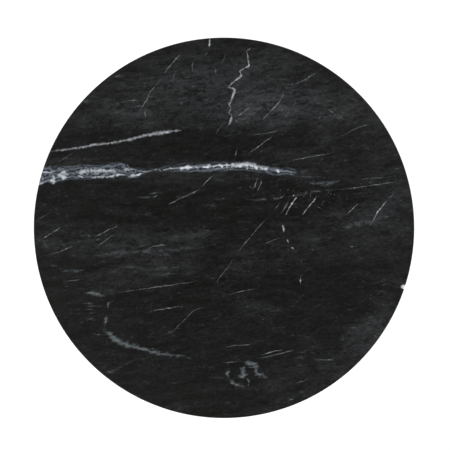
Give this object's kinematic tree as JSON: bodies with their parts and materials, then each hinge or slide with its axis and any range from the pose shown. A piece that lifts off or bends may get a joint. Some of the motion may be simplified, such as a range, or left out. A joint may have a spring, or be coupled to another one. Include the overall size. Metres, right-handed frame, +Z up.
{
  "type": "round pedestal table",
  "caption": "Small round table: a black marble top on a single steel column with a weighted round base and levelling feet.",
  "frame": {"origin": "on the floor under the four foot pads, on the axis of the column", "axes": "+Z up along the column; +X and +Y along the spider's arms, with the feet on the diagonals"},
  "size_m": [0.61, 0.61, 0.74],
  "materials": {
    "black_marble": "satin",
    "plywood": "matte",
    "brass": "satin",
    "cast_iron_painted": "matte",
    "black_powder_coat": "satin",
    "mill_steel": "matte",
    "zinc_plated_steel": "satin",
    "black_nylon": "matte"
  },
  "bodies": {
    "frame": {"marble_top": "black_marble", "sub_top": "plywood", "threaded_insert_1": "brass", "threaded_insert_2": "brass", "threaded_insert_3": "brass", "threaded_insert_4": "brass", "spider": "cast_iron_painted", "spider_washer_1": "zinc_plated_steel", "spider_washer_2": "zinc_plated_steel", "spider_washer_3": "zinc_plated_steel", "spider_washer_4": "zinc_plated_steel", "spider_screw_1": "zinc_plated_steel", "spider_screw_2": "zinc_plated_steel", "spider_screw_3": "zinc_plated_steel", "spider_screw_4": "zinc_plated_steel", "column_tube": "black_powder_coat", "column_seat": "mill_steel", "tie_rod": "zinc_plated_steel", "tie_rod_top_washer": "zinc_plated_steel", "tie_rod_top_nut": "zinc_plated_steel", "tie_rod_bottom_washer": "zinc_plated_steel", "tie_rod_bottom_nut": "zinc_plated_steel", "base_plate": "mill_steel", "base_cover": "black_powder_coat", "column_collar": "black_powder_coat", "foot_lock_nut_1": "zinc_plated_steel", "foot_lock_nut_2": "zinc_plated_steel", "foot_lock_nut_3": "zinc_plated_steel", "foot_lock_nut_4": "zinc_plated_steel"},
    "foot_1": {"foot_pad_1": "black_nylon"},
    "foot_1_stem": {"foot_stem_1": "zinc_plated_steel"},
    "foot_2": {"foot_pad_2": "black_nylon"},
    "foot_2_stem": {"foot_stem_2": "zinc_plated_steel"},
    "foot_3": {"foot_pad_3": "black_nylon"},
    "foot_3_stem": {"foot_stem_3": "zinc_plated_steel"},
    "foot_4": {"foot_pad_4": "black_nylon"},
    "foot_4_stem": {"foot_stem_4": "zinc_plated_steel"}
  },
  "joints": [
    {"name": "foot_1_travel", "type": "slide", "parent": "frame", "child": "foot_1", "axis": [0, 0, -1], "range_m": [0, 0.01]},
    {"name": "foot_1_turn", "type": "hinge", "parent": "foot_1", "child": "foot_1_stem", "pos_m": [0.12728, 0.12728, 0.02], "axis": [0, 0, -1], "range_deg": [0, 2880.1]},
    {"name": "foot_2_travel", "type": "slide", "parent": "frame", "child": "foot_2", "axis": [0, 0, -1], "range_m": [0, 0.01]},
    {"name": "foot_2_turn", "type": "hinge", "parent": "foot_2", "child": "foot_2_stem", "pos_m": [-0.12728, 0.12728, 0.02], "axis": [0, 0, -1], "range_deg": [0, 2880.1]},
    {"name": "foot_3_travel", "type": "slide", "parent": "frame", "child": "foot_3", "axis": [0, 0, -1], "range_m": [0, 0.01]},
    {"name": "foot_3_turn", "type": "hinge", "parent": "foot_3", "child": "foot_3_stem", "pos_m": [-0.12728, -0.12728, 0.02], "axis": [0, 0, -1], "range_deg": [0, 2880.1]},
    {"name": "foot_4_travel", "type": "slide", "parent": "frame", "child": "foot_4", "axis": [0, 0, -1], "range_m": [0, 0.01]},
    {"name": "foot_4_turn", "type": "hinge", "parent": "foot_4", "child": "foot_4_stem", "pos_m": [0.12728, -0.12728, 0.02], "axis": [0, 0, -1], "range_deg": [0, 2880.1]}
  ],
  "couplings": [
    {"joint": "foot_1_turn", "follows": "foot_1_travel", "rad_per_m": 5026.5},
    {"joint": "foot_2_turn", "follows": "foot_2_travel", "rad_per_m": 5026.5},
    {"joint": "foot_3_turn", "follows": "foot_3_travel", "rad_per_m": 5026.5},
    {"joint": "foot_4_turn", "follows": "foot_4_travel", "rad_per_m": 5026.5}
  ]
}
